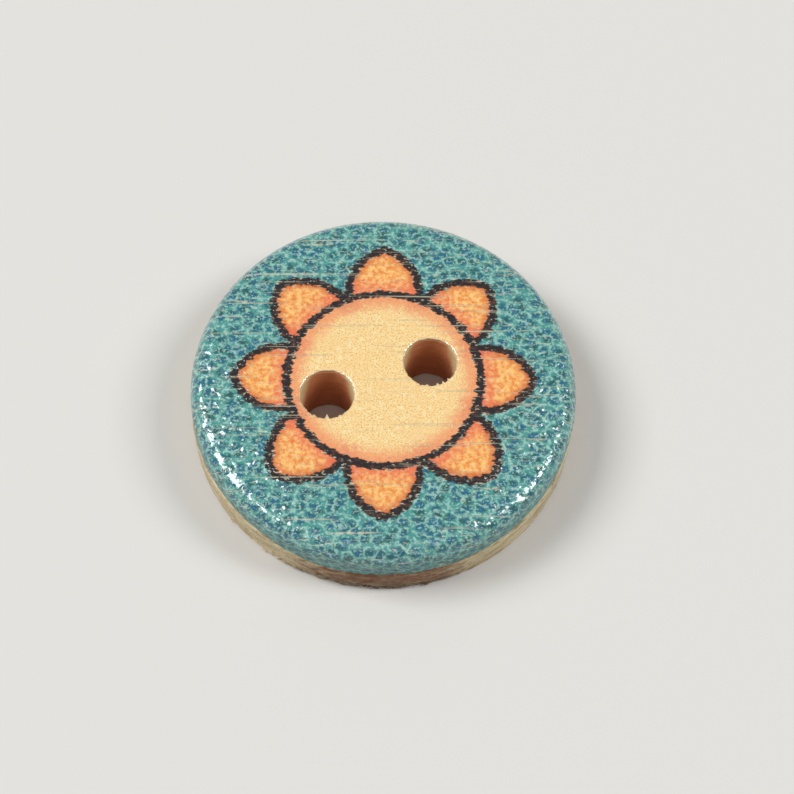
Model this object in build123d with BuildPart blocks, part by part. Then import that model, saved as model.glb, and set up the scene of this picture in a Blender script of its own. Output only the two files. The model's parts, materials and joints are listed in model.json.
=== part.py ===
from build123d import *
import os
from math import pi

# Two-hole sew-through button, turned from wood, with a lacquered print on its face.
# Origin at the middle of the flat back, +Z out of the printed face, +X along the pair of holes.

# Turned disc
button_diameter = 15.0
wood_thickness = 2.92
shoulder_radius = 0.8
foot_chamfer = 0.25

# Thread holes, drilled a little off the middle
hole_diameter = 2.0
hole_spacing = 4.2
hole_edge_break = 0.1
pair_shift_x = -0.17
pair_shift_y = 0.07

# Lacquered print: it wraps the shoulder and thins out towards the side
film_thickness = 0.08
wrap_angle = 30.0  # where the film stops on the shoulder, in degrees above level

# Daisy: a heart round both holes, with petals that reach towards the side
print_turn = 70.0  # direction of the first petal, in degrees from +X
line_width = 0.32
heart_margin = 0.11
petal_count = 8
petal_reach_share = 0.475  # of the way from the heart's line to the side

cut_overrun = 0.5

# Places worked out from the sizes above
disc_radius = button_diameter / 2
flat_radius = disc_radius - shoulder_radius
side_height = wood_thickness - shoulder_radius
top_height = wood_thickness + film_thickness
hole_radius = hole_diameter / 2
sink_depth = hole_edge_break + film_thickness
hole_places = [
    (pair_shift_x - hole_spacing / 2, pair_shift_y),
    (pair_shift_x + hole_spacing / 2, pair_shift_y),
]
heart_radius = hole_spacing / 2 + abs(pair_shift_x) + hole_radius + sink_depth + heart_margin
ring_radius = heart_radius + line_width
petal_half_length = (disc_radius - ring_radius) * petal_reach_share
petal_half_width = pi * ring_radius / petal_count - line_width
petal_side_radius = (petal_half_length**2 + petal_half_width**2) / (2 * petal_half_width)
petal_side_shift = petal_side_radius - petal_half_width


def face_line(lift, lowest_angle):
    """Flat face and shoulder, raised by lift, down to an angle on the shoulder."""
    Line((0, wood_thickness + lift), (flat_radius, wood_thickness + lift))
    CenterArc((flat_radius, side_height + lift), shoulder_radius, lowest_angle, 90 - lowest_angle)


def daisy_petals(margin):
    """Pointed petals, widest at the heart's line, grown on every side by a margin."""
    with BuildSketch(mode=Mode.PRIVATE) as petal:
        with Locations((0, petal_side_shift)):
            Circle(petal_side_radius + margin)
        with Locations((0, -petal_side_shift)):
            Circle(petal_side_radius + margin, mode=Mode.INTERSECT)
    with PolarLocations(ring_radius, petal_count, start_angle=print_turn):
        add(petal.sketch)


# Drill: its flares break the hole's edges, through the print and into the wood
with BuildPart() as drill:
    with BuildSketch(Plane.YZ):
        with BuildLine():
            Polyline(
                (0, -cut_overrun),
                (hole_radius + hole_edge_break + cut_overrun, -cut_overrun),
                (hole_radius, hole_edge_break),
                (hole_radius, top_height - sink_depth),
                (hole_radius + sink_depth + cut_overrun, top_height + cut_overrun),
                (0, top_height + cut_overrun),
                close=True,
            )
        make_face()
    revolve(axis=Axis.Z)

# Wood: the section is turned about +Z and drilled
with BuildPart() as wood_disc:
    with BuildSketch(Plane.YZ):
        with BuildLine():
            face_line(0, 0)
            Polyline(
                (disc_radius, side_height),
                (disc_radius, foot_chamfer),
                (disc_radius - foot_chamfer, 0),
                (0, 0),
                (0, wood_thickness),
            )
        make_face()
    revolve(axis=Axis.Z)
    with Locations(*hole_places):
        add(drill.part, mode=Mode.SUBTRACT)

# Film: the face's own line raised by the film, so that it feathers out down the shoulder
with BuildPart() as film:
    with BuildSketch(Plane.YZ):
        with BuildLine() as film_line:
            face_line(0, wrap_angle)
            face_line(film_thickness, wrap_angle)
            Line(*film_line.vertices().group_by(Axis.X)[-1])
            Line((0, wood_thickness), (0, top_height))
        make_face()
    revolve(axis=Axis.Z)
    with Locations(*hole_places):
        add(drill.part, mode=Mode.SUBTRACT)

# Shapes of the daisy, drawn flat
with BuildSketch() as heart:
    Circle(heart_radius)

with BuildSketch() as petals:
    daisy_petals(0)
    Circle(ring_radius, mode=Mode.SUBTRACT)

with BuildSketch() as outline:
    daisy_petals(line_width)
    Circle(ring_radius)

with BuildSketch() as ground:
    Circle(disc_radius + cut_overrun)

# In the order of printing: each colour keeps clear of those before it
shapes = {
    "print_heart": heart,
    "print_petals": petals,
    "print_outline": outline,
    "print_ground": ground,
}

os.makedirs("parts", exist_ok=True)
wood_disc.part.label = "wood_disc"
export_step(wood_disc.part, "parts/wood_disc.step")

# Each colour is the film inside its own field, so that the colours meet edge to edge
printed = []
for name, shape in shapes.items():
    with BuildPart() as colour:
        add(film.part)
        with BuildSketch():
            add(shape.sketch)
            for earlier in printed:
                add(earlier.sketch, mode=Mode.SUBTRACT)
        extrude(amount=top_height + cut_overrun, mode=Mode.INTERSECT)
    colour.part.label = name
    export_step(colour.part, f"parts/{name}.step")
    printed.append(shape)
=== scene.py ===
import json
import math
import bpy
import numpy as np
from mathutils import Matrix, Vector
from mathutils.geometry import delaunay_2d_cdt


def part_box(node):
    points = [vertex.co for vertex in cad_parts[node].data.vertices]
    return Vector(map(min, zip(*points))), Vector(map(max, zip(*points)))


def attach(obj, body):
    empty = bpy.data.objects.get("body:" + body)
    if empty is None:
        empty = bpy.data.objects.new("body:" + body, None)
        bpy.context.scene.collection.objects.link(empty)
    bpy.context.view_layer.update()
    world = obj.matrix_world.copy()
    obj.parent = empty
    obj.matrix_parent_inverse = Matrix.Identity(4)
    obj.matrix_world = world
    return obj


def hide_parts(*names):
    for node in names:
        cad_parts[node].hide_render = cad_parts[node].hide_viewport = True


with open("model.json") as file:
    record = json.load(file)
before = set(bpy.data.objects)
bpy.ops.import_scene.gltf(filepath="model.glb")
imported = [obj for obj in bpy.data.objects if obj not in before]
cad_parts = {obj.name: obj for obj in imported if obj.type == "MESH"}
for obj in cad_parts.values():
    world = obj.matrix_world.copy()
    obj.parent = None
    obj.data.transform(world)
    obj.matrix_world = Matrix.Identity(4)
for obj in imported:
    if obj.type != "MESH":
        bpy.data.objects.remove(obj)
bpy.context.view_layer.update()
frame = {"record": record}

# Sizes below are in millimetres, as a button maker gives them; meshes go to metres at the end
mm = 0.001
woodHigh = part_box("wood_disc")[1] / mm
sideClearance = 0.008  # keeps the visual side just inside the turned solid
discRadius = woodHigh.x - sideClearance
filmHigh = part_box("print_ground")[1] / mm
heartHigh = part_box("print_heart")[1] / mm
mounts = {m["name"]: m for m in frame["record"]["mounts"]}
threadHoles = [mounts["left_thread_hole"], mounts["right_thread_hole"]]
holeSpots = [[place / mm for place in m["pos_m"][:2]] for m in threadHoles]
holeRadius = threadHoles[0]["dims"]["r_mm"]

photoView = {
    "azimuth": -21.7,  # the line of the holes rises to the right
    "elevation": 62.9,
    "roll": 2.0,
    "distance": 65.0,
    "aimHeight": 1.5,
    "lens": 75.4,
    "shift": (0.0173, -0.0018),
}
grainAngle = math.radians(-19.4)  # grain and print lie level in the photo
nearAngle = math.radians(250)  # direction of the near side, the near one in the photo, where shade is painted on the wood side

shoulderRadius = 0.8  # as on the turned solid
flatRadius = woodHigh.x - shoulderRadius
printInset = 0.065  # the bare side stands this far proud of the print
layer = 0.08  # of ink and lacquer over the wood
rimCount = 720  # points round the rim
holeCount = 360  # points round each hole
sharpAngle = math.radians(55)  # steeper edges stay crisp


def smoothStep(low, high, value):
    t = np.clip((value - low) / (high - low), 0, 1)
    return t * t * (3 - 2 * t)


def waves(seed, angles, lowest, highest, count):
    # a smooth closed wobble round a rim, about -1 to 1
    draw = np.random.default_rng(seed)
    total = np.zeros_like(angles)
    for turn in draw.integers(lowest, highest, count):
        total += draw.uniform(0.4, 1.0) * np.sin(turn * angles + draw.uniform(0, 2 * math.pi))
    return total / math.sqrt(count)


def ringPoints(radius, count, middle=(0.0, 0.0)):
    angles = np.arange(count) * 2 * math.pi / count
    return np.stack([middle[0] + radius * np.cos(angles), middle[1] + radius * np.sin(angles)], 1)


def plate(outerRings, holeRings, spacing):
    # flat triangulated disc with the two holes: first ring of each list is the edge
    points, loops = [], []
    start = 0
    rings = [((0.0, 0.0), outerRings, rimCount)] + [(spot, holeRings, holeCount) for spot in holeSpots]
    for middle, radii, count in rings:
        loops.append(np.arange(start, start + count))
        for radius in radii:
            points.append(ringPoints(radius, count, middle))
            start += count
    room = 0.6 * spacing  # between the rings and the lattice that fills the rest
    reach = outerRings[-1] - room
    rows = np.arange(-reach, reach, spacing * math.sqrt(3) / 2)
    columns = np.arange(-reach, reach, spacing)
    shiftX = (np.arange(len(rows)) % 2) * spacing / 2
    x, y = np.meshgrid(columns, rows)
    x = x + shiftX[:, None]
    lattice = np.stack([x.ravel(), y.ravel()], 1)
    keep = np.hypot(*lattice.T) < reach
    for spot in holeSpots:
        keep &= np.hypot(*(lattice - spot).T) > holeRings[-1] + room
    points = np.concatenate(points + [lattice[keep]])
    edges = [(int(a), int(b)) for loop in loops for a, b in zip(loop, np.roll(loop, -1))]
    made = delaunay_2d_cdt([Vector(p) for p in points], edges, [], 0, 1e-6)
    assert len(made[0]) == len(points)
    faces = np.array([f for f in made[2] if len(f) == 3])
    middles = points[faces].mean(1)
    keep = np.ones(len(faces), bool)
    for spot in holeSpots:
        keep &= np.hypot(*(middles - spot).T) > holeRings[0] * math.cos(math.pi / holeCount)
    return points, faces[keep], loops


def bridge(loopA, loopB):
    # triangles between two loops of equal count
    nextA, nextB = np.roll(loopA, -1), np.roll(loopB, -1)
    return np.concatenate([np.stack([loopA, nextA, nextB], 1), np.stack([loopA, nextB, loopB], 1)])


def meshObject(name, points, faces, attributes):
    mesh = bpy.data.meshes.new(name)
    mesh.vertices.add(len(points))
    mesh.vertices.foreach_set("co", (points * mm).astype(np.float32).ravel())
    mesh.loops.add(len(faces) * 3)
    mesh.loops.foreach_set("vertex_index", faces.astype(np.int32).ravel())
    mesh.polygons.add(len(faces))
    mesh.polygons.foreach_set("loop_start", np.arange(0, len(faces) * 3, 3, dtype=np.int32))
    mesh.update(calc_edges=True)
    mesh.validate()
    for key, values in attributes.items():
        kind, field = ("FLOAT", "value") if values.ndim == 1 else ("FLOAT_VECTOR", "vector")
        mesh.attributes.new(key, kind, "POINT").data.foreach_set(field, values.astype(np.float32).ravel())
    obj = bpy.data.objects.new(name, mesh)
    bpy.context.scene.collection.objects.link(obj)
    return obj


class Wire:
    # a socket with sums: 1 - mask adds a Math node
    def __init__(self, tree, socket=None):
        self.tree, self.socket = tree, socket

    def node(self, kind, settings=None, inputs=None, out=0):
        made = self.tree.nodes.new(kind)
        for key, value in (settings or {}).items():
            setattr(made, key, value)
        for key, value in (inputs or {}).items():
            if isinstance(value, Wire):
                self.tree.links.new(value.socket, made.inputs[key])
            else:
                made.inputs[key].default_value = value
        return Wire(self.tree, made.outputs[out])

    def sum(self, operation, *values):
        return self.node("ShaderNodeMath", {"operation": operation}, dict(enumerate(values)))

    def __add__(self, other):
        return self.sum("ADD", self, other)

    def __radd__(self, other):
        return self.sum("ADD", other, self)

    def __sub__(self, other):
        return self.sum("SUBTRACT", self, other)

    def __rsub__(self, other):
        return self.sum("SUBTRACT", other, self)

    def __mul__(self, other):
        return self.sum("MULTIPLY", self, other)

    def __rmul__(self, other):
        return self.sum("MULTIPLY", other, self)

    def __truediv__(self, other):
        return self.sum("DIVIDE", self, other)

    def __rtruediv__(self, other):
        return self.sum("DIVIDE", other, self)

    def __abs__(self):
        return self.sum("ABSOLUTE", self)

    def top(self, other):
        # the larger of the two, as one mask laid over another
        return self.sum("MAXIMUM", self, other)

    def step(self, low, high):
        # 0 at low, 1 at high, smooth between; low may be the larger
        return self.node("ShaderNodeMapRange", {"interpolation_type": "SMOOTHSTEP"},
                         {"Value": self, "From Min": low, "From Max": high})

    def sway(self, amount):
        # noise as a swing about zero
        return (self - 0.5) * amount

    def cover(self, low, high, share):
        # a step that covers no more than a share
        return self.step(low, high) * share

    def mix(self, first, second):
        # this mask lays the second colour over the first
        return self.node("ShaderNodeMix", {"data_type": "RGBA"}, {0: self, 6: first, 7: second}, 2)

    def vector(self, x, y, z):
        return self.node("ShaderNodeCombineXYZ", None, {0: x, 1: y, 2: z})

    def parts(self, count=3):
        # a vector's first axes, each as a value
        return [self.node("ShaderNodeSeparateXYZ", None, {0: self}, k) for k in range(count)]

    def scaled(self, factor):
        return self.node("ShaderNodeVectorMath", {"operation": "SCALE"}, {0: self, "Scale": factor})

    def length(self, x, y):
        return self.sum("SQRT", x * x + y * y)

    def noise(self, place, size, detail=2.0, rough=0.5):
        return self.node("ShaderNodeTexNoise", None,
                         {"Vector": place, "Scale": 1 / size, "Detail": detail, "Roughness": rough})

    def into(self, shader, socket):
        self.tree.links.new(self.socket, shader.inputs[socket])


def paint(screen):
    # screen colour to the linear one that sockets take
    def linear(v):
        v /= 255
        return v / 12.92 if v <= 0.04045 else ((v + 0.055) / 1.055) ** 2.4
    return tuple(linear(v) for v in screen) + (1.0,)


def newMaterial(name):
    material = bpy.data.materials.new(name)
    material.use_nodes = True
    tree = material.node_tree
    tree.nodes.clear()
    root = Wire(tree)
    bsdf = tree.nodes.new("ShaderNodeBsdfPrincipled")
    output = tree.nodes.new("ShaderNodeOutputMaterial")
    tree.links.new(bsdf.outputs[0], output.inputs["Surface"])
    return material, root, bsdf


def bump(root, bsdf, height, depth):
    root.node("ShaderNodeBump", None, {"Distance": depth * mm, "Height": height}).into(bsdf, "Normal")


def objectPlaces(root):
    # object place in millimetres
    return root.node("ShaderNodeTexCoord", None, None, "Object").scaled(1 / mm).parts()


def grainPlaces(x, y):
    # turned so that the first axis runs along the grain
    along = x * math.cos(grainAngle) + y * math.sin(grainAngle)
    across = y * math.cos(grainAngle) - x * math.sin(grainAngle)
    return along, across


def startTree(name, inputs):
    tree = bpy.data.node_groups.new(name, "GeometryNodeTree")
    face = tree.interface
    face.new_socket("Geometry", in_out="OUTPUT", socket_type="NodeSocketGeometry")
    face.new_socket("Geometry", in_out="INPUT", socket_type="NodeSocketGeometry")
    for label in inputs:
        face.new_socket(label, in_out="INPUT", socket_type="NodeSocketFloat")
    face.new_socket("Count", in_out="INPUT", socket_type="NodeSocketInt")
    face.new_socket("Seed", in_out="INPUT", socket_type="NodeSocketInt")
    face.new_socket("Finish", in_out="INPUT", socket_type="NodeSocketMaterial")
    group = tree.nodes.new("NodeGroupInput")
    return Wire(tree), {s.name: Wire(tree, s) for s in group.outputs if s.name}


def endTree(root, shape, finish):
    whole = root.node("GeometryNodeRealizeInstances", None, {"Geometry": shape})
    dressed = root.node("GeometryNodeSetMaterial", None, {"Geometry": whole, "Material": finish})
    dressed.into(root.tree.nodes.new("NodeGroupOutput"), 0)
    return root.tree


def reliefTree():
    # ripples of lacquer, or fibres of wood along the grain: the surface only sinks, so sizes hold
    root, given = startTree("surface_relief", ["Depth", "Fine Depth", "Deepest", "Length", "Width",
                                               "Grain Angle"])
    untouched = 0.3  # where the noise is lower, the surface stays
    finer = 2.6  # how much smaller the fine layer is
    fineSeed = 7.0
    x, y, z = root.node("GeometryNodeInputPosition").scaled(1 / mm).parts()
    cosine = root.sum("COSINE", given["Grain Angle"])
    sine = root.sum("SINE", given["Grain Angle"])
    along = (x * cosine + y * sine) / given["Length"]
    across = (y * cosine - x * sine) / given["Width"]
    spot = root.vector(along, across, z / given["Width"])

    def hollow(scale, seedShift):
        level = root.node("ShaderNodeTexNoise", {"noise_dimensions": "4D"},
                          {"Vector": spot, "W": given["Seed"] + seedShift, "Scale": scale, "Detail": 1.0})
        return (level - untouched).top(0.0)

    sink = hollow(1.0, 0.0) * given["Depth"] + hollow(finer, fineSeed) * given["Fine Depth"]
    sink = root.sum("MINIMUM", sink, given["Deepest"])
    share = root.node("GeometryNodeInputNamedAttribute", {"data_type": "FLOAT"}, {"Name": "relief"})
    offset = root.node("GeometryNodeInputNormal").scaled(sink * share * -mm)
    moved = root.node("GeometryNodeSetPosition", None, {"Geometry": given["Geometry"], "Offset": offset})
    return endTree(root, moved, given["Finish"])


def fibreTree():
    # torn fibres along an arc of the foot, each a small lump that lies with the rim
    root, given = startTree("rim_fibres", ["Radius", "Start Angle", "Sweep Angle", "Low", "High", "Sunk",
                                           "Length", "Thickness", "Tilt"])
    leastSunk = 0.4  # share of Sunk that every lump goes in
    smallest = (0.4, 0.4, 0.3)  # shares of the full size
    arc = root.node("GeometryNodeCurveArc", {"mode": "RADIUS"},
                    {"Resolution": 256, "Radius": given["Radius"] * mm, "Start Angle": given["Start Angle"],
                     "Sweep Angle": given["Sweep Angle"]})
    points = root.node("GeometryNodeCurveToPoints", {"mode": "COUNT"},
                       {"Curve": arc, "Count": given["Count"]})
    turn = Wire(root.tree, points.socket.node.outputs["Rotation"])

    def draw(low, high, seedShift):
        return root.node("FunctionNodeRandomValue", {"data_type": "FLOAT_VECTOR"},
                         {0: low, 1: high, "Seed": given["Seed"] + seedShift})

    outward = root.node("ShaderNodeVectorMath", {"operation": "NORMALIZE"},
                        {0: root.node("GeometryNodeInputPosition")})
    chance = draw((0, 0, 0), (1, 1, 1), 0)
    first, second = chance.parts(2)
    rise = given["Low"] + (given["High"] - given["Low"]) * first
    offset = root.node("ShaderNodeVectorMath", {"operation": "ADD"},
                       {0: outward.scaled(given["Sunk"] * (leastSunk + second) * -mm),
                        1: root.vector(0.0, 0.0, rise * mm)})
    points = root.node("GeometryNodeSetPosition", None, {"Geometry": points, "Offset": offset})
    leaning = root.node("FunctionNodeRotateRotation", {"rotation_space": "LOCAL"},
                        {"Rotation": turn,
                         "Rotate By": draw((-1, -1, -1), (1, 1, 1), 3).scaled(given["Tilt"])})
    lump = root.node("GeometryNodeMeshUVSphere", None, {"Segments": 8, "Rings": 5, "Radius": mm})
    size = root.node("ShaderNodeVectorMath", {"operation": "MULTIPLY"},
                     {0: draw(smallest, (1, 1, 1), 5),
                      1: root.vector(given["Thickness"], given["Thickness"], given["Length"])})
    placed = root.node("GeometryNodeInstanceOnPoints", None,
                       {"Points": points, "Instance": lump, "Rotation": leaning, "Scale": size})
    return endTree(root, placed, given["Finish"])


def grow(obj, tree, values):
    # run a node tree on an object and keep the outcome as a plain mesh
    modifier = obj.modifiers.new(tree.name, "NODES")
    modifier.node_group = tree
    for item in tree.interface.items_tree:
        if item.in_out == "INPUT" and item.name in values:
            modifier[item.identifier] = values[item.name]
    obj.update_tag()
    seen = obj.evaluated_get(bpy.context.evaluated_depsgraph_get())
    mesh = bpy.data.meshes.new_from_object(seen)
    obj.modifiers.clear()
    obj.data = mesh
    mesh.polygons.foreach_set("use_smooth", np.ones(len(mesh.polygons), bool))
    mesh.set_sharp_from_angle(angle=sharpAngle)
    return mesh


def place3d(flat, radius, height):
    # a flat plate point keeps its direction and takes its new radius and height
    reach = np.hypot(*flat.T)
    tiny = 1e-9
    stretch = np.where(reach > tiny, radius / np.maximum(reach, tiny), 0)
    return np.column_stack([flat * stretch[:, None], height])


def section(s, flat, curve, top):
    # radius, height and outward normal along the face, the shoulder and the side
    swing = np.clip((s - flat) / curve, 0, math.pi / 2)
    drop = np.maximum(s - flat - curve * math.pi / 2, 0)
    radius = np.minimum(s, flat) + curve * np.sin(swing)
    height = top - curve * (1 - np.cos(swing)) - drop
    return radius, height, np.sin(swing), np.cos(swing)


wood = {
    "pale": (226, 212, 176),
    "mid": (196, 178, 138),
    "deep": (138, 114, 78),
    "pore": (92, 66, 44),
    "stain": (112, 62, 32),  # painted shade on the near side, under the print
    # painted shade on the walls of the bores, reddish brown where they run with the grain
    "stainDeep": (72, 42, 28),
    "bore": (216, 140, 96),  # browner where the drill ran with the grain
    "boreDeep": (186, 114, 76),
    "boreEnd": (228, 204, 154),  # painted light on the side walls of the bores, at the end grain
    # each pattern: size, scale along its first axis, its second and in height, detail, roughness
    "streaks": (0.16, 0.12, 1.0, 1.0, 4.0, 0.6),
    "fibres": (0.045, 0.08, 1.0, 1.0, 2.0, 0.6),
    "bands": (0.7, 0.06, 0.8, 1.6, 2.0, 0.5),
    "pores": (0.11, 0.35, 1.6, 1.6, 1.0, 0.5),
    "latheLines": (0.07, 0.06, 0.06, 1.0, 3.0, 0.65),
    "grit": (0.2, 1.0, 1.0, 1.0, 2.0, 0.6),
    "streakShare": 0.6,  # of the ground colour, against the bands
    # each layer: level where it starts, level where it is full, share that it covers
    "paleLevels": (0.36, 0.64),
    "darkFibres": (0.5, 0.75, 0.5),
    "poreLevels": (0.66, 0.74),
    "poreCover": 0.6,
    "sideDepth": 0.2,  # how far in from the rim the lines of the lathe show
    "darkLathe": (0.48, 0.64, 0.8),
    "paleLathe": (0.44, 0.3, 0.7),
    "stainFacing": (0.84, 1.0, 0.95),
    "stainRagged": 0.4,
    "stainGaps": (0.66, 0.3, 0.25),
    "stainHeights": (0.15, 0.9),
    "stainLathe": 1.2,  # how far the lines of the lathe and the streaks shift its height
    "stainStreaks": 0.6,
    "boreWall": (0.07, 0.03, 0.95),  # off the drilled radius
    "scorchHeights": (0.3, -1.2),  # off the top of the wood
    "scorchRagged": 0.8,
    "boreLathe": (0.5, 0.7, 0.35),
    "endLevels": (0.5, 0.85),
    "endRagged": 0.2,
    "endFade": 0.2,  # less painted light further down
    "roughness": 0.5,
    "streakRoughness": 0.25,
    "poreRoughness": 0.1,
    "poreBump": 0.8,
    "bumpDepth": 0.012,
    "specular": 0.35,
}


def woodMaterial():
    material, root, bsdf = newMaterial("bare_wood")
    x, y, z = objectPlaces(root)
    along, across = grainPlaces(x, y)

    def pattern(key, first, second):
        size, firstScale, secondScale, heightScale, detail, rough = wood[key]
        spot = root.vector(first * firstScale, second * secondScale, z * heightScale)
        return root.noise(spot, size, detail, rough)

    streak = pattern("streaks", along, across)
    fibre = pattern("fibres", along, across)
    bands = pattern("bands", along, across)
    pores = pattern("pores", along, across).step(*wood["poreLevels"])
    lathe = pattern("latheLines", x, y)
    grit = pattern("grit", x, y)
    ground = streak * wood["streakShare"] + bands * (1 - wood["streakShare"])
    colour = ground.step(*wood["paleLevels"]).mix(paint(wood["mid"]), paint(wood["pale"]))
    colour = fibre.cover(*wood["darkFibres"]).mix(colour, paint(wood["deep"]))

    # turned side: fine lines that run round, and painted shade on the near side
    reach = root.length(x, y)
    side = reach.step(discRadius - wood["sideDepth"], discRadius - wood["sideDepth"] / 2)
    colour = (lathe.cover(*wood["darkLathe"]) * side).mix(colour, paint(wood["deep"]))
    colour = (lathe.cover(*wood["paleLathe"]) * side).mix(colour, paint(wood["pale"]))
    # painted shade: the wood side facing the camera is darkened, darkest low down by the foot, with gaps
    facing = (x * math.cos(nearAngle) + y * math.sin(nearAngle)) / reach
    stain = (facing + streak.sway(wood["stainRagged"])).cover(*wood["stainFacing"])
    stain = stain * (1 - grit.cover(*wood["stainGaps"])) * side
    level = z + lathe.sway(wood["stainLathe"]) + streak.sway(wood["stainStreaks"])
    tone = level.step(*wood["stainHeights"]).mix(paint(wood["stainDeep"]), paint(wood["stain"]))
    colour = stain.mix(colour, tone)
    colour = (pores * wood["poreCover"]).mix(colour, paint(wood["pore"]))

    # drilled walls: painted shade, reddish brown and darker further down, with painted light paler where
    # the fibres end
    under = z - woodHigh.z
    # painted shade: the bore walls turn darker further down
    boreShade = (under + streak * wood["scorchRagged"]).step(*wood["scorchHeights"])
    drilled = boreShade.mix(paint(wood["bore"]), paint(wood["boreDeep"]))
    drilled = lathe.cover(*wood["boreLathe"]).mix(drilled, paint(wood["pore"]))
    for spotX, spotY in holeSpots:
        away = root.length(x - spotX, y - spotY)
        offAlong = grainPlaces(x - spotX, y - spotY)[0]
        # painted light: pale on the bore walls where the grain ends, fading further down
        boreLitMask = abs(offAlong / away) + fibre.sway(wood["endRagged"]) + under * wood["endFade"]
        bore = boreLitMask.step(*wood["endLevels"]).mix(drilled, paint(wood["boreEnd"]))
        colour = (away - holeRadius).cover(*wood["boreWall"]).mix(colour, bore)
    colour.into(bsdf, "Base Color")
    rough = wood["roughness"] + streak * wood["streakRoughness"] + pores * wood["poreRoughness"]
    rough.into(bsdf, "Roughness")
    height = (streak + fibre) * 0.5 + lathe * side - pores * wood["poreBump"]
    bump(root, bsdf, height, wood["bumpDepth"])
    bsdf.inputs["Specular IOR Level"].default_value = wood["specular"]
    return material


flower = {
    "turn": math.radians(70.0),
    "petals": 8,
    "line": 0.32,
    "heart": heartHigh.x,
    "reach": 0.475,  # share of the way to the side
    "creep": 0.5,  # ink creeps along the grain
    "wobble": 0.3,
    "soft": 0.035,
}
ink = {
    "tealDeep": (22, 88, 86),
    "tealBlue": (18, 106, 138),
    "teal": (68, 146, 142),
    "tealLight": (174, 220, 206),
    "fleck": (208, 206, 178),
    "line": (22, 10, 14),
    "lineBrown": (98, 58, 44),
    "orange": (238, 150, 70),
    "orangeDeep": (206, 96, 44),
    "orangeLight": (255, 202, 122),
    "cream": (252, 222, 157),
    "creamDeep": (222, 164, 94),
    "creamLight": (255, 240, 190),
    "creamDull": (246, 206, 141),
    "coral": (233, 108, 80),
    "bare": (214, 200, 164),
    # each pattern: size, scale along the grain, scale across it, shift along it, detail, roughness
    "mottle": (0.2, 1.0, 1.0, 0.0, 3.0, 0.6),
    "specks": (0.06, 1.0, 1.0, 0.0, 1.0, 0.5),
    "patches": (0.9, 1.0, 1.0, 0.0, 2.0, 0.5),
    "breaks": (0.2, 1.0, 1.0, 57.0, 2.0, 0.5),
    "bluePatches": (0.45, 1.0, 1.0, 57.0, 2.0, 0.5),
    "dots": (0.11, 1.0, 1.0, 57.0, 1.0, 0.5),
    "wobbleX": (0.22, 1.0, 1.0, 0.0, 2.0, 0.5),
    "wobbleY": (0.22, 1.0, 1.0, 57.0, 2.0, 0.5),
    "teeth": (1.0, 1.1, 6.5, 0.0, 3.0, 0.6),
    "streaks": (0.5, 0.08, 3.4, 0.0, 1.0, 0.5),
    "dashes": (0.5, 0.3, 3.2, 11.0, 1.0, 0.5),
    "flecks": (1.0, 5.0, 8.0, 0.0, 1.0, 0.5),
    "nibs": (1.0, 3.0, 11.0, 0.0, 1.0, 0.5),
    "pebble": (0.13, 0.8, 1.0, 0.0, 1.0, 0.5),
    # each layer: level where it starts, level where it is full, share that it covers; teal first
    "blotSize": 0.38,
    "blotStretch": 0.8,
    "blotRagged": 0.6,
    "blotLevels": (0.16, 0.62),
    "blueLevels": (0.38, 0.58),
    "blueBlots": (0.56, 0.18, 0.85),
    "netRagged": 0.4,
    "net": (0.2, 0.0, 0.7),
    "netBreaks": (0.4, 0.58),
    "paleDots": (0.54, 0.7, 0.6),
    "darkSpecks": (0.46, 0.3, 0.3),
    # orange and cream
    "orangeLevels": (0.38, 0.64),
    "orangeSpecks": (0.46, 0.36, 0.6),
    "orangeEdge": (-0.15, 0.16, 0.8),
    "edgeRagged": 0.3,
    "blush": (1.1, 0.3, 0.7),  # out from the heart's line
    "blushRagged": 0.8,
    "creamLevels": (0.3, 0.56),
    "creamGlow": (0.5, 0.7, 0.7),
    "creamPatches": (0.42, 0.62, 0.4),
    "warmRim": (-0.2, 0.55, 0.75),  # off the heart's edge
    "warmRagged": 1.2,
    # dark line and the pale marks over the print
    "lineWorn": (0.5, 0.68, 0.8),
    "streakLevels": (0.64, 0.71),
    "streakBreaks": (0.28, 0.46),
    "dashLevels": (0.65, 0.74),
    "dashBreaks": (0.36, 0.5),
    "dashOffLine": 0.6,  # share of the dashes that the dark line hides
    "streakCover": 0.62,
    "streakOffHeart": 0.3,  # so much less on the heart
    "paleFlecks": (0.63, 0.72, 0.55),
    "paleNibs": (0.59, 0.68, 0.75),
    "nibReach": (0.09, 0.03),
    "nibHeight": 3.0,  # slice of the noise that the nibs are cut from
    # wear
    "underShade": (2.35, 1.9, 0.2),  # heights on the side where the colour deepens
    "fray": 0.25,
    "frayTeeth": 0.1,
    "hemHeight": 1.36,  # below this the print is worn to the wood
    "hemSoft": (0.03, -0.03),
    "rubHeight": 2.28,  # the far edge of the shoulder is rubbed bare, highest at the back
    "rubRise": 0.4,
    "rubWander": 0.3,
    "rubWidth": (0.14, 0.056),
    "rubFacing": (-0.05, 0.3),
    "rubGaps": (0.54, 0.36, 0.45),
    "lipWear": (0.09, 0.03),  # off the drilled radius
    "lipFray": 0.12,
    "bareCover": 0.8,
    # gloss
    "dullHeights": (2.75, 2.3),  # duller, without a coat, down the side
    "roughness": 0.12,
    "patchRoughness": 0.08,
    "sideRoughness": 0.2,
    "coatRoughness": 0.03,
    "coatIor": 1.7,
    "pebbleDepth": 0.05,
    "streakBump": 0.4,
}


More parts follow.
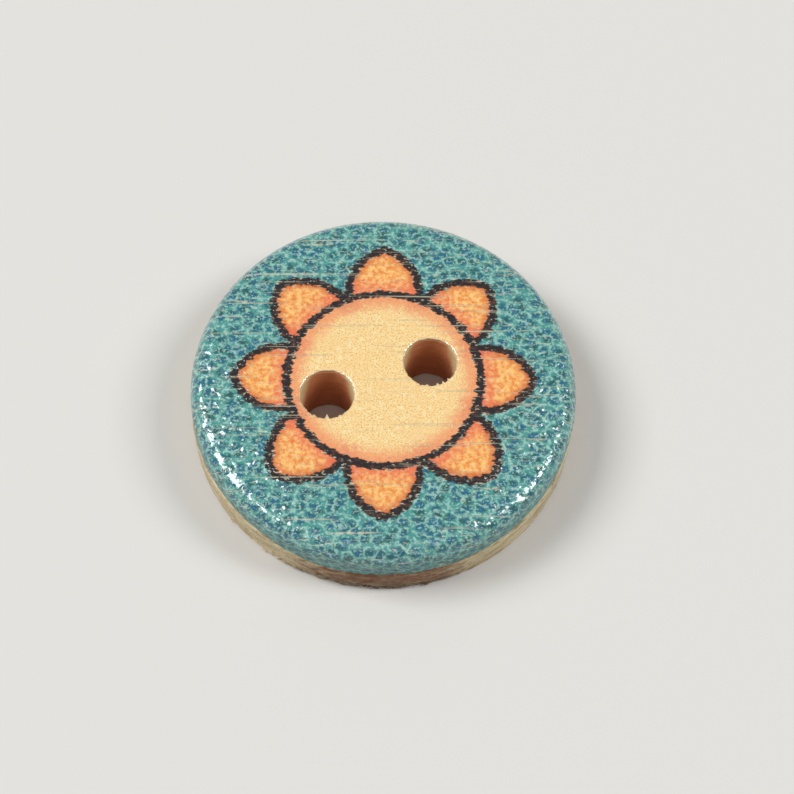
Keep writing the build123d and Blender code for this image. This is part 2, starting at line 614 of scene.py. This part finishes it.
def printMaterial():
    material, root, bsdf = newMaterial("lacquered_daisy_print")
    objectX, objectY, z = objectPlaces(root)
    x, y = root.node("ShaderNodeAttribute", {"attribute_name": "unrolled"}, None, "Vector").parts(2)
    along, across = grainPlaces(x, y)

    def pattern(key, height=0.0):
        size, alongScale, acrossScale, shift, detail, rough = ink[key]
        spot = root.vector(along * alongScale + shift, across * acrossScale, height)
        return root.noise(spot, size, detail, rough)

    mottle = pattern("mottle")
    speck = pattern("specks")
    patch = pattern("patches")
    broken = pattern("breaks")

    # ink creeps along the grain, so edges are ragged in short level teeth
    teeth = pattern("teeth")
    creep = teeth.sway(flower["creep"])
    wobbleX = pattern("wobbleX").sway(flower["wobble"])
    wobbleY = pattern("wobbleY").sway(flower["wobble"])
    px = x + creep * math.cos(grainAngle) + wobbleX
    py = y + creep * math.sin(grainAngle) + wobbleY

    # the daisy: one petal folded round the middle
    sector = 2 * math.pi / flower["petals"]
    ring = flower["heart"] + flower["line"]
    halfLength = (woodHigh.x - ring) * flower["reach"]
    halfWidth = math.pi * ring / flower["petals"] - flower["line"]
    sideRadius = (halfLength**2 + halfWidth**2) / (2 * halfWidth)
    reach = root.length(px, py)
    angle = root.sum("ARCTAN2", py, px) - flower["turn"]
    folded = root.sum("WRAP", angle, sector / 2, -sector / 2)
    outward = reach * root.sum("COSINE", folded) - ring
    sideways = abs(reach * root.sum("SINE", folded)) + (sideRadius - halfWidth)
    petal = root.length(outward, sideways) - sideRadius

    # teal ground: dark and blue blots inside a thin, broken, paler net
    bent = root.vector(along * ink["blotStretch"] + wobbleX, across + wobbleY, 0.0)

    def blots(feature, ragged):
        cells = root.node("ShaderNodeTexVoronoi", {"feature": feature, "voronoi_dimensions": "2D"},
                          {"Vector": bent, "Scale": 1 / ink["blotSize"]}, "Distance")
        return cells + mottle.sway(ragged)

    core = blots("F1", ink["blotRagged"])
    blue = pattern("bluePatches").step(*ink["blueLevels"]) * core.cover(*ink["blueBlots"])
    net = blots("DISTANCE_TO_EDGE", ink["netRagged"]).cover(*ink["net"]) * broken.step(*ink["netBreaks"])
    net = net.top(pattern("dots").cover(*ink["paleDots"]))
    teal = core.step(*ink["blotLevels"]).mix(paint(ink["tealDeep"]), paint(ink["teal"]))
    teal = blue.mix(teal, paint(ink["tealBlue"]))
    teal = net.mix(teal, paint(ink["tealLight"]))
    teal = speck.cover(*ink["darkSpecks"]).mix(teal, paint(ink["tealDeep"]))

    # orange and cream, mottled and speckled
    edge = (petal + mottle * ink["edgeRagged"]).cover(*ink["orangeEdge"])
    blush = (outward + mottle * ink["blushRagged"]).cover(*ink["blush"])
    orange = mottle.step(*ink["orangeLevels"]).mix(paint(ink["orange"]), paint(ink["orangeLight"]))
    orange = ((mottle + speck) * 0.5).cover(*ink["orangeSpecks"]).mix(orange, paint(ink["orangeDeep"]))
    orange = edge.mix(orange, paint(ink["orangeDeep"]))
    orange = blush.mix(orange, paint(ink["coral"]))
    warm = (reach - flower["heart"] + mottle * ink["warmRagged"]).cover(*ink["warmRim"])
    cream = speck.step(*ink["creamLevels"]).mix(paint(ink["creamDeep"]), paint(ink["cream"]))
    cream = mottle.cover(*ink["creamGlow"]).mix(cream, paint(ink["creamLight"]))
    cream = patch.cover(*ink["creamPatches"]).mix(cream, paint(ink["creamDull"]))
    cream = warm.mix(cream, orange)

    # lay the colours down in order, each with its own edge
    soft = flower["soft"]

    def inside(distance, limit):
        return distance.step(limit + soft, limit - soft)

    lineMask = inside(petal, flower["line"]).top(inside(reach, ring))
    petalMask = inside(petal, 0.0) * (1 - inside(reach, ring))
    heartMask = inside(reach, flower["heart"])
    line = mottle.cover(*ink["lineWorn"]).mix(paint(ink["line"]), paint(ink["lineBrown"]))
    colour = lineMask.mix(teal, line)
    colour = petalMask.mix(colour, orange)
    colour = heartMask.mix(colour, cream)

    # pale broken lines where the grain of the wood takes no ink, and small flecks
    streaks = pattern("streaks").step(*ink["streakLevels"]) * broken.step(*ink["streakBreaks"])
    dashes = pattern("dashes").step(*ink["dashLevels"]) * broken.step(*ink["dashBreaks"])
    streaks = streaks.top(dashes * (1 - lineMask * ink["dashOffLine"]))
    flecks = pattern("flecks").cover(*ink["paleFlecks"]) * (1 - heartMask)

    # short level nibs along both edges of the dark line
    half = flower["line"] / 2
    farOff = 9.0  # inside the heart's line the petals' own lines don't count
    offPetal = abs(petal - half).top(reach.step(ring, ring - soft) * farOff)
    offRing = abs(reach - (ring - half))
    offEdge = root.sum("MINIMUM", abs(offPetal - half), abs(offRing - half))
    nibs = pattern("nibs", ink["nibHeight"]).cover(*ink["paleNibs"]) * offEdge.step(*ink["nibReach"])
    pale = streaks * (ink["streakCover"] - heartMask * ink["streakOffHeart"])
    colour = pale.top(flecks.top(nibs)).mix(colour, paint(ink["fleck"]))

    # painted shade deeper down the side; ink is worn off at the lower edge, along the far shoulder and at
    # the lips
    colour = z.cover(*ink["underShade"]).mix(colour, paint(ink["tealDeep"]))
    beyond = objectX * -math.cos(nearAngle) - objectY * math.sin(nearAngle)
    beyond = beyond / root.length(objectX, objectY)
    frayed = z + mottle.sway(ink["fray"]) + teeth.sway(ink["frayTeeth"])
    bare = (frayed - ink["hemHeight"]).step(*ink["hemSoft"])
    offRub = abs(frayed + patch.sway(ink["rubWander"]) - ink["rubHeight"] - beyond * ink["rubRise"])
    rubbed = offRub.step(*ink["rubWidth"]) * beyond.step(*ink["rubFacing"])
    bare = bare.top(rubbed * (1 - broken.cover(*ink["rubGaps"])))
    for spotX, spotY in holeSpots:
        away = root.length(objectX - spotX, objectY - spotY) + mottle.sway(ink["lipFray"])
        bare = bare.top((away - holeRadius).step(*ink["lipWear"]))
    colour = (bare * ink["bareCover"]).mix(colour, paint(ink["bare"]))
    colour.into(bsdf, "Base Color")

    # a glossy coat on the face
    onSide = z.step(*ink["dullHeights"])
    rough = ink["roughness"] + patch * ink["patchRoughness"] + onSide * ink["sideRoughness"]
    rough.into(bsdf, "Roughness")
    (1 - onSide).into(bsdf, "Coat Weight")
    bsdf.inputs["Coat Roughness"].default_value = ink["coatRoughness"]
    bsdf.inputs["Coat IOR"].default_value = ink["coatIor"]
    bump(root, bsdf, pattern("pebble", z) - streaks * ink["streakBump"], ink["pebbleDepth"])
    return material


woodFinish = woodMaterial()
printFinish = printMaterial()
relief = reliefTree()
print("materials and relief tree made")


# in disc and film a span gives the two places between which something starts and is full
disc = {
    "top": woodHigh.z,
    "shoulder": shoulderRadius - printInset - layer,  # under the print
    "ledge": discRadius - woodHigh.x + printInset + layer,  # step from there out to the bare side
    "ledgeHeight": 1.3,
    "ledgeSpan": (0.1, -0.02),  # off that height
    "ledgeInset": 0.1,
    "hemLift": 0.2,
    "hemLiftSpan": (0.15, 0.6),  # radians off the handled side
    "hemWaves": 0.1,
    "hemFineWaves": 0.035,
    "foot": 0.2,
    "waist": 0.9,  # height where the upper and lower plates meet
    "lip": 0.06,
    "lipDepth": 0.08,
    "backLip": 0.1,
    "boreWander": 0.006,
    "boreTwist": 0.3,
    "chip": 0.13,
    "chipFrom": math.radians(200),
    "chipTo": math.radians(262),
    "chipFade": (-0.2, 0.1),
    "chipElsewhere": 0.12,  # share of the chips outside that arc
    "chipBites": (0.1, 1.2),  # smallest and largest
    "chipIn": 0.6,
    "chipUp": 0.5,
    "chipSpan": (-0.12, 0.1),  # off the flat of the back
    "chipUpSpan": (-0.1, 0.05),
    "chipHeights": (0.5, 0.2),
    "fibreSpan": (7.0, 7.4),  # radii
    "fibreDepth": 0.03,
    "fineDepth": 0.02,
    "deepest": 0.1,
    "fibreLength": 1.6,
    "fibreWidth": 0.12,
    "seed": 3,
    # rows of the mesh: step between rings, number of rings, spacing of the rest
    "upperRows": (0.065, 17, 0.3),
    "lowerRows": (0.055, 24, 0.13),
    "lipRow": 0.08,
    "boreTop": (0.03, 0.06),  # close rows, this far below the top
    "boreEven": 0.12,  # even rows from here down
    "boreRows": 42,
}


def hemWander(angles):
    # the lower edge of the print runs up and down a little round the side, lowest on the handled side
    off = np.abs((angles - nearAngle + math.pi) % (2 * math.pi) - math.pi)
    lift = disc["hemLift"] * smoothStep(*disc["hemLiftSpan"], off)
    lift = lift + disc["hemWaves"] * waves(41, angles, 3, 9, 5)
    return lift + disc["hemFineWaves"] * waves(43, angles, 14, 40, 8)


def upperWood():
    # under the print, then down past the ledge to the waist
    sideTop = disc["top"] - disc["shoulder"]
    waistReach = flatRadius + disc["shoulder"] * math.pi / 2 + sideTop - disc["waist"]
    row, rowCount, spacing = disc["upperRows"]
    rings = [waistReach - row * k for k in range(rowCount)]
    holeRings = [holeRadius + disc["lip"] + disc["lipRow"] * k for k in range(2)]
    flat, faces, loops = plate(rings, holeRings, spacing)
    reach = np.hypot(*flat.T)
    radius, height, _, _ = section(reach, flatRadius, disc["shoulder"], disc["top"])
    angles = np.arctan2(flat[:, 1], flat[:, 0])
    aboveLedge = height - disc["ledgeHeight"] - hemWander(angles)
    onSide = smoothStep(disc["shoulder"] - disc["ledgeInset"], disc["shoulder"], radius - flatRadius)
    radius = radius + disc["ledge"] * onSide * smoothStep(*disc["ledgeSpan"], aboveLedge)
    return place3d(flat, radius, height), faces, loops


def lowerWood():
    # the back: flat, then a rough foot and the lower side
    wall = flatRadius + disc["shoulder"] + disc["ledge"]
    floorReach = wall - disc["foot"]
    lowReach = floorReach + disc["foot"] * math.pi / 2 + disc["waist"] - disc["foot"]
    row, rowCount, spacing = disc["lowerRows"]
    rings = [lowReach - row * k for k in range(rowCount)]
    holeRings = [holeRadius + disc["backLip"] + disc["lipRow"] * k for k in range(3)]
    flat, faces, loops = plate(rings, holeRings, spacing)
    reach = np.hypot(*flat.T)
    swing = np.clip((reach - floorReach) / disc["foot"], 0, math.pi / 2)
    climb = np.maximum(reach - floorReach - disc["foot"] * math.pi / 2, 0)
    radius = np.minimum(reach, floorReach) + disc["foot"] * np.sin(swing)
    height = disc["foot"] * (1 - np.cos(swing)) + climb

    # chips out of the foot, most of them along one arc
    angles = np.arctan2(flat[:, 1], flat[:, 0]) % (2 * math.pi)
    worn = smoothStep(*disc["chipFade"], angles - disc["chipFrom"])
    worn *= smoothStep(*disc["chipFade"], disc["chipTo"] - angles)
    bites = waves(11, angles, 20, 60, 9) + 0.5 * waves(12, angles, 70, 150, 9)
    chips = disc["chip"] * np.clip(bites, *disc["chipBites"])
    chips *= disc["chipElsewhere"] + (1 - disc["chipElsewhere"]) * worn
    chips *= smoothStep(*disc["chipSpan"], reach - floorReach) * smoothStep(*disc["chipHeights"], height)
    radius = radius - chips * disc["chipIn"]
    height = height + chips * smoothStep(*disc["chipUpSpan"], reach - floorReach) * disc["chipUp"]
    return place3d(flat, radius, height), faces, loops


def turnedWood():
    upper, upFaces, upLoops = upperWood()
    lower, downFaces, downLoops = lowerWood()
    print("wood plates", len(upper), len(lower))

    # the two plates meet at the waist, so the lower one's rim row is dropped for the upper one's
    base = len(upper)
    count = base + len(lower)
    points = [upper, lower]
    faces = [upFaces, downFaces[:, ::-1] + base]
    shares = [smoothStep(*disc["fibreSpan"], np.hypot(upper[:, 0], upper[:, 1])), np.ones(len(lower))]
    rows = np.concatenate([[disc["top"] - drop for drop in disc["boreTop"]],
                           np.linspace(disc["top"] - disc["boreEven"], disc["backLip"], disc["boreRows"])])
    angles = np.arange(holeCount) * 2 * math.pi / holeCount
    for k, spot in enumerate(holeSpots):
        loops = [upLoops[1 + k]]
        for row in rows:
            flare = disc["lip"] * smoothStep(disc["top"] - disc["lipDepth"], disc["top"], row)
            wander = disc["boreWander"] * waves(31 + k, angles + row * disc["boreTwist"], 3, 14, 5)
            ring = ringPoints(1.0, holeCount) * (holeRadius + flare + wander)[:, None] + spot
            points.append(np.column_stack([ring, np.full(holeCount, row)]))
            loops.append(np.arange(count, count + holeCount))
            shares.append(np.ones(holeCount))
            count += holeCount
        loops.append(downLoops[1 + k] + base)
        for first, second in zip(loops[:-1], loops[1:]):
            faces.append(bridge(first, second))
    joint = np.arange(count)
    joint[downLoops[0] + base] = upLoops[0]
    used, faces = np.unique(joint[np.concatenate(faces)], return_inverse=True)
    obj = meshObject("turned_wood", np.concatenate(points)[used], faces.reshape(-1, 3),
                     {"relief": np.concatenate(shares)[used]})
    grow(obj, relief, {"Depth": disc["fibreDepth"], "Fine Depth": disc["fineDepth"],
                       "Deepest": disc["deepest"], "Length": disc["fibreLength"],
                       "Width": disc["fibreWidth"], "Grain Angle": grainAngle, "Seed": disc["seed"],
                       "Finish": woodFinish})
    return obj


woodPiece = turnedWood()
print("turned wood", len(woodPiece.data.polygons), "faces")

tornFoot = {
    "Radius": discRadius - 0.006,
    "Start Angle": math.radians(198),
    "Sweep Angle": math.radians(68),
    "Low": 0.06,
    "High": 0.95,
    "Sunk": 0.055,
    "Length": 0.26,
    "Thickness": 0.055,
    "Tilt": 0.25,
    "Count": 150,
    "Seed": 5,
}


def rimFibres():
    nothing = np.zeros((0, 3))
    obj = meshObject("rim_fibres", nothing, nothing, {})
    grow(obj, fibreTree(), {**tornFoot, "Finish": woodFinish})
    return obj


fibrePiece = rimFibres()
print("rim fibres", len(fibrePiece.data.polygons), "faces")


film = {
    "top": filmHigh.z,
    "shoulder": shoulderRadius - printInset,
    "hem": 0.92,  # how far it runs down the side
    "hemRagged": 0.03,
    "raggedSpan": (-0.7, 0.0),  # these three are off the outer edge
    "thinSpan": (-0.45, -0.1),
    "rollSpan": (-0.1, 0.0),
    "thickness": 0.075,
    "edgeThickness": 0.02,
    "edgeRoll": 0.6,  # share of the thickness that the outer edge rolls over
    "lipRadius": 1.03,
    "lipDrop": 0.06,
    "lipBlend": 0.2,
    "lipRoll": (-0.03, 0.12),
    "lipWaves": 0.014,
    "lipFineWaves": 0.008,
    # splinters of lacquer at the near lips: hole, direction in the picture from right, width, height
    "splinters": [(0, -90, 0.2, 0.22), (0, -62, 0.16, 0.07), (0, -118, 0.2, 0.06), (0, -140, 0.16, 0.05),
                  (1, -112, 0.1, -0.08), (1, -98, 0.14, 0.06), (1, -75, 0.12, 0.1), (1, -62, 0.1, 0.13),
                  (1, -48, 0.1, 0.08)],
    "rippleDepth": 0.3,
    "rippleLimit": 0.065,
    "rippleLength": 0.34,
    "rippleWidth": 0.27,
    "seed": 8,
    "calm": 0.15,  # share of the ripples away from the rim
    "rippleSpan": (5.0, 6.2),  # radii
    "shoulderCalm": 0.5,  # share of the ripples lost on the shoulder
    "shoulderSpan": (0.1, 0.5),  # this and the next are off the flat of the face
    "sideSpan": (0.9, 0.4),
    "lipCalm": 0.12,
    # where the lacquer has run and rippled: direction in the picture from right, half width
    "runs": [(-154, 46), (-26, 48)],
    # rows of the mesh: steps in from the outer edge, steps out from the lips, spacing of the rest
    "upperRows": ((0.0, 0.03, 0.07, 0.12, 0.18), (0.0, 0.02, 0.045, 0.075, 0.11, 0.15, 0.2), 0.06),
    "lowerRows": ((0.0, 0.1), (0.0, 0.06), 0.25),
}
filmEdge = flatRadius + film["shoulder"] * math.pi / 2 + film["hem"]


def lipLine(hole, angles):
    radius = film["lipRadius"] + film["lipWaves"] * waves(51 + hole, angles, 6, 30, 9)
    radius = radius + film["lipFineWaves"] * waves(61 + hole, angles, 40, 110, 9)
    for which, direction, width, height in film["splinters"]:
        if which == hole:
            middle = math.radians(direction) + grainAngle
            away = (angles - middle + math.pi) % (2 * math.pi) - math.pi
            radius = radius - height * np.clip(1 - np.abs(away) * film["lipRadius"] / (width / 2), 0, 1)
    return radius


def filmPlate(rimSteps, lipSteps, spacing):
    return plate([filmEdge - step for step in rimSteps], [film["lipRadius"] + step for step in lipSteps],
                 spacing)


def filmSkin(flat, upper):
    reach = np.hypot(*flat.T)
    angles = np.arctan2(flat[:, 1], flat[:, 0])
    ragged = film["hemRagged"] * waves(42, angles, 40, 130, 10) - hemWander(angles)
    moved = reach + ragged * smoothStep(*film["raggedSpan"], reach - filmEdge)
    radius, height, outX, outZ = section(moved, flatRadius, film["shoulder"], film["top"])
    thin = smoothStep(*film["thinSpan"], moved - filmEdge)
    thick = film["thickness"] * (1 - thin) + film["edgeThickness"] * thin
    # the upper skin rolls over at the outer edge, the lower one lies on the wood
    rolled = film["edgeRoll"] * smoothStep(*film["rollSpan"], reach - filmEdge) ** 2
    sink = thick * rolled if upper else thick
    points = place3d(flat, radius - sink * outX, height - sink * outZ)
    for k, spot in enumerate(holeSpots):
        offset = flat - spot
        away = np.hypot(*offset.T)
        near = away < film["lipRadius"] + film["lipBlend"]
        away = away[near]
        offset = offset[near]
        blend = 1 - smoothStep(0, film["lipBlend"], away - film["lipRadius"])
        lip = lipLine(k, np.arctan2(offset[:, 1], offset[:, 0])) - film["lipRadius"]
        points[near, :2] = spot + offset * (1 + lip * blend / away)[:, None]
        if upper:
            drop = 1 - smoothStep(*film["lipRoll"], away - film["lipRadius"])
            points[near, 2] -= film["lipDrop"] * drop ** 2
    return points


def rippleShare(flat):
    rim = np.hypot(*flat.T)
    turn = np.degrees(np.arctan2(flat[:, 1], flat[:, 0]) - grainAngle)
    run = np.zeros(len(flat))
    for direction, halfWidth in film["runs"]:
        off = np.abs((turn - direction + 180) % 360 - 180)
        run = np.maximum(run, smoothStep(halfWidth, halfWidth / 2, off))
    share = film["calm"] + (1 - film["calm"]) * run * smoothStep(*film["rippleSpan"], rim)
    share *= 1 - film["shoulderCalm"] * smoothStep(*film["shoulderSpan"], rim - flatRadius)
    share *= smoothStep(*film["sideSpan"], rim - flatRadius)
    for spot in holeSpots:
        share *= smoothStep(0, film["lipCalm"], np.hypot(*(flat - spot).T) - film["lipRadius"])
    return share


def lacqueredPrint():
    topFlat, topFaces, topLoops = filmPlate(*film["upperRows"])
    lowFlat, lowFaces, lowLoops = filmPlate(*film["lowerRows"])
    print("film plates", len(topFlat), len(lowFlat))
    base = len(topFlat)
    faces = [topFaces, lowFaces[:, ::-1] + base]
    faces.append(bridge(lowLoops[0] + base, topLoops[0]))
    for first, second in zip(topLoops[1:], lowLoops[1:]):
        faces.append(bridge(first, second + base))
    points = np.concatenate([filmSkin(topFlat, True), filmSkin(lowFlat, False)])
    share = np.concatenate([rippleShare(topFlat), np.zeros(len(lowFlat))])
    unrolled = np.column_stack([np.concatenate([topFlat, lowFlat]), np.zeros(len(points))])
    obj = meshObject("lacquered_print", points, np.concatenate(faces),
                     {"relief": share, "unrolled": unrolled})
    grow(obj, relief, {"Depth": film["rippleDepth"], "Deepest": film["rippleLimit"],
                       "Length": film["rippleLength"], "Width": film["rippleWidth"],
                       "Grain Angle": grainAngle, "Seed": film["seed"], "Finish": printFinish})
    return obj


printPiece = lacqueredPrint()
print("lacquered print", len(printPiece.data.polygons), "faces")

for piece, slot in ((woodPiece, "wood"), (fibrePiece, "wood"), (printPiece, "teal_print")):
    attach(piece, "root")
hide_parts("wood_disc")
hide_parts("print_ground", "print_outline", "print_petals", "print_heart")


studio = {
    "floor": (216, 214, 210),
    "floorSize": 6000.0,
    "floorRoughness": 0.8,
    "floorSpecular": 0.2,
    "world": 0.28,
    # each softbox: direction in the picture from right, angle above the floor, distance, size, power
    "softboxes": {
        "left_softbox": (174.0, 50.0, 1200.0, (520.0, 560.0), 9.6),
        "right_softbox": (0.0, 48.0, 1200.0, (320.0, 520.0), 5.9),
        "front_fill": (270.0, 68.0, 2000.0, (1520.0, 1520.0), 3.2),
    },
}


def makeFloor():
    half = studio["floorSize"] / 2
    corners = np.array([[-half, -half, 0], [half, -half, 0], [half, half, 0], [-half, half, 0]])
    floor = meshObject("floor", corners, np.array([[0, 1, 2], [0, 2, 3]]), {})
    material, _, bsdf = newMaterial("pale_floor")
    bsdf.inputs["Base Color"].default_value = paint(studio["floor"])
    bsdf.inputs["Roughness"].default_value = studio["floorRoughness"]
    bsdf.inputs["Specular IOR Level"].default_value = studio["floorSpecular"]
    floor.data.materials.append(material)


def lamp(name, direction, height, distance, size, power):
    light = bpy.data.lights.new(name, "AREA")
    light.shape = "RECTANGLE"
    light.size, light.size_y = (side * mm for side in size)
    light.energy = power
    turn = math.radians(photoView["azimuth"] + direction)
    raised = math.radians(height)
    away = Vector((math.cos(turn) * math.cos(raised), math.sin(turn) * math.cos(raised), math.sin(raised)))
    obj = bpy.data.objects.new(name, light)
    obj.location = away * distance * mm
    obj.rotation_euler = away.to_track_quat("Z", "Y").to_euler()
    bpy.context.scene.collection.objects.link(obj)


def makeCamera():
    azimuth = math.radians(photoView["azimuth"])
    elevation = math.radians(photoView["elevation"])
    back = Vector((math.sin(azimuth) * math.cos(elevation), -math.cos(azimuth) * math.cos(elevation),
                   math.sin(elevation)))
    camera = bpy.data.cameras.new("camera")
    camera.lens = photoView["lens"]
    camera.shift_x, camera.shift_y = photoView["shift"]
    camera.clip_start = mm
    obj = bpy.data.objects.new("camera", camera)
    turned = back.to_track_quat("Z", "Y").to_matrix().to_4x4()
    turned = turned @ Matrix.Rotation(math.radians(photoView["roll"]), 4, "Z")
    aim = Vector((0, 0, photoView["aimHeight"]))
    obj.matrix_world = Matrix.Translation((aim + back * photoView["distance"]) * mm) @ turned
    bpy.context.scene.collection.objects.link(obj)
    bpy.context.scene.camera = obj


def makeWorld():
    world = bpy.data.worlds.new("studio")
    bpy.context.scene.world = world
    world.use_nodes = True
    world.node_tree.nodes.clear()
    root = Wire(world.node_tree)
    sky = root.node("ShaderNodeBackground", None, {"Color": (1, 1, 1, 1), "Strength": studio["world"]})
    sky.into(world.node_tree.nodes.new("ShaderNodeOutputWorld"), "Surface")


makeFloor()
for name, values in studio["softboxes"].items():
    lamp(name, *values)
makeWorld()
makeCamera()
bpy.context.scene.view_settings.view_transform = "Standard"
print("stage, lamps and camera set")
